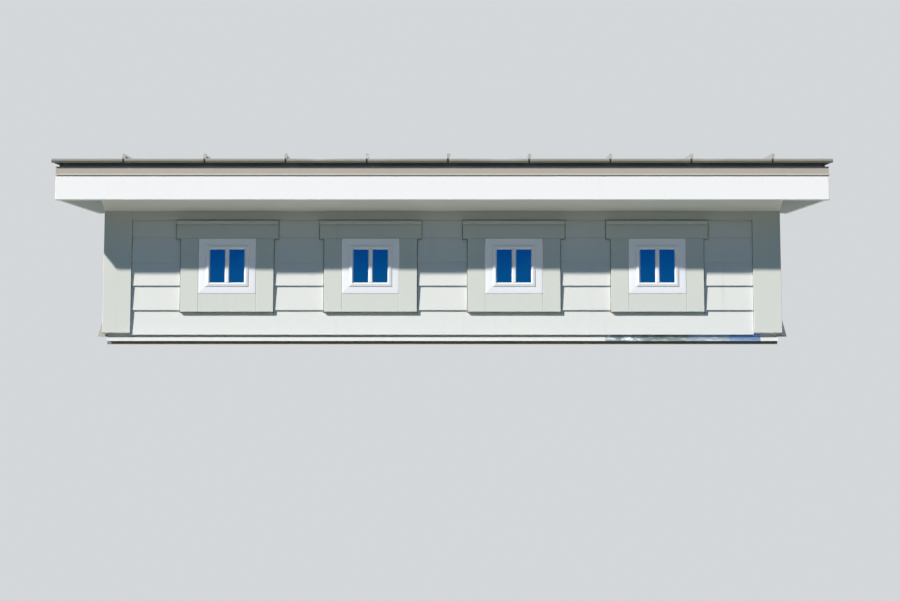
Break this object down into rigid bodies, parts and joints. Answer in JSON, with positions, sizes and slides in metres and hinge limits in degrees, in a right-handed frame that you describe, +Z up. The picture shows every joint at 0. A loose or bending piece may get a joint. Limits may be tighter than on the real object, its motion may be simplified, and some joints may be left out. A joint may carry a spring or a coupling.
{
  "type": "dormer window",
  "caption": "Wide shed dormer with lap siding, a row of small square windows and a standing-seam metal roof, cut off along the main roof.",
  "frame": {"origin": "on the main roof's plane, under the middle of the front wall's sole plate", "axes": "+X along the front wall to the right as seen from the front, +Y level and back into the main roof, +Z up"},
  "size_m": [3.912, 3.3494, 1.7973],
  "materials": {
    "lumber": "sawn softwood",
    "sheathing_panel": "strand board",
    "siding_paint": "off-white painted lap siding",
    "trim_paint": "pale grey-green paint",
    "fascia_paint": "white paint",
    "soffit_panel": "light grey panel",
    "window_vinyl": "white vinyl",
    "window_pane": "tinted by the sky it mirrors",
    "roof_metal": "warm grey coil coating",
    "strip_metal": "taupe coil coating",
    "white_metal": "white coil coating",
    "bare_metal": "galvanised, unpainted"
  },
  "bodies": {
    "root": {"front_wall_frame": "lumber", "cheek_frame_left": "lumber", "cheek_frame_right": "lumber", "rafters": "lumber", "eave_frame": "lumber", "front_sheathing": "sheathing_panel", "cheek_sheathing_left": "sheathing_panel", "cheek_sheathing_right": "sheathing_panel", "roof_deck": "sheathing_panel", "siding_front": "siding_paint", "siding_left": "siding_paint", "siding_right": "siding_paint", "corner_board_left": "trim_paint", "corner_board_right": "trim_paint", "frieze_front": "trim_paint", "rake_frieze_left": "trim_paint", "rake_frieze_right": "trim_paint", "window_casing_1": "trim_paint", "window_casing_2": "trim_paint", "window_casing_3": "trim_paint", "window_casing_4": "trim_paint", "fascia_front": "fascia_paint", "rake_fascia_left": "fascia_paint", "rake_fascia_right": "fascia_paint", "soffit_front": "soffit_panel", "rake_soffit_left": "soffit_panel", "rake_soffit_right": "soffit_panel", "window_frame_1": "window_vinyl", "window_frame_2": "window_vinyl", "window_frame_3": "window_vinyl", "window_frame_4": "window_vinyl", "window_glass": "window_pane", "roof_panel_01": "roof_metal", "roof_panel_02": "roof_metal", "roof_panel_03": "roof_metal", "roof_panel_04": "roof_metal", "roof_panel_05": "roof_metal", "roof_panel_06": "roof_metal", "roof_panel_07": "roof_metal", "roof_panel_08": "roof_metal", "roof_panel_09": "roof_metal", "roof_panel_10": "roof_metal", "transition_flashing": "roof_metal", "cheek_flashing_left": "roof_metal", "cheek_flashing_right": "roof_metal", "eave_flashing": "strip_metal", "rake_flashing_left": "strip_metal", "rake_flashing_right": "strip_metal", "apron_flashing_white": "white_metal", "apron_flashing_bare": "bare_metal"}
  },
  "joints": []
}
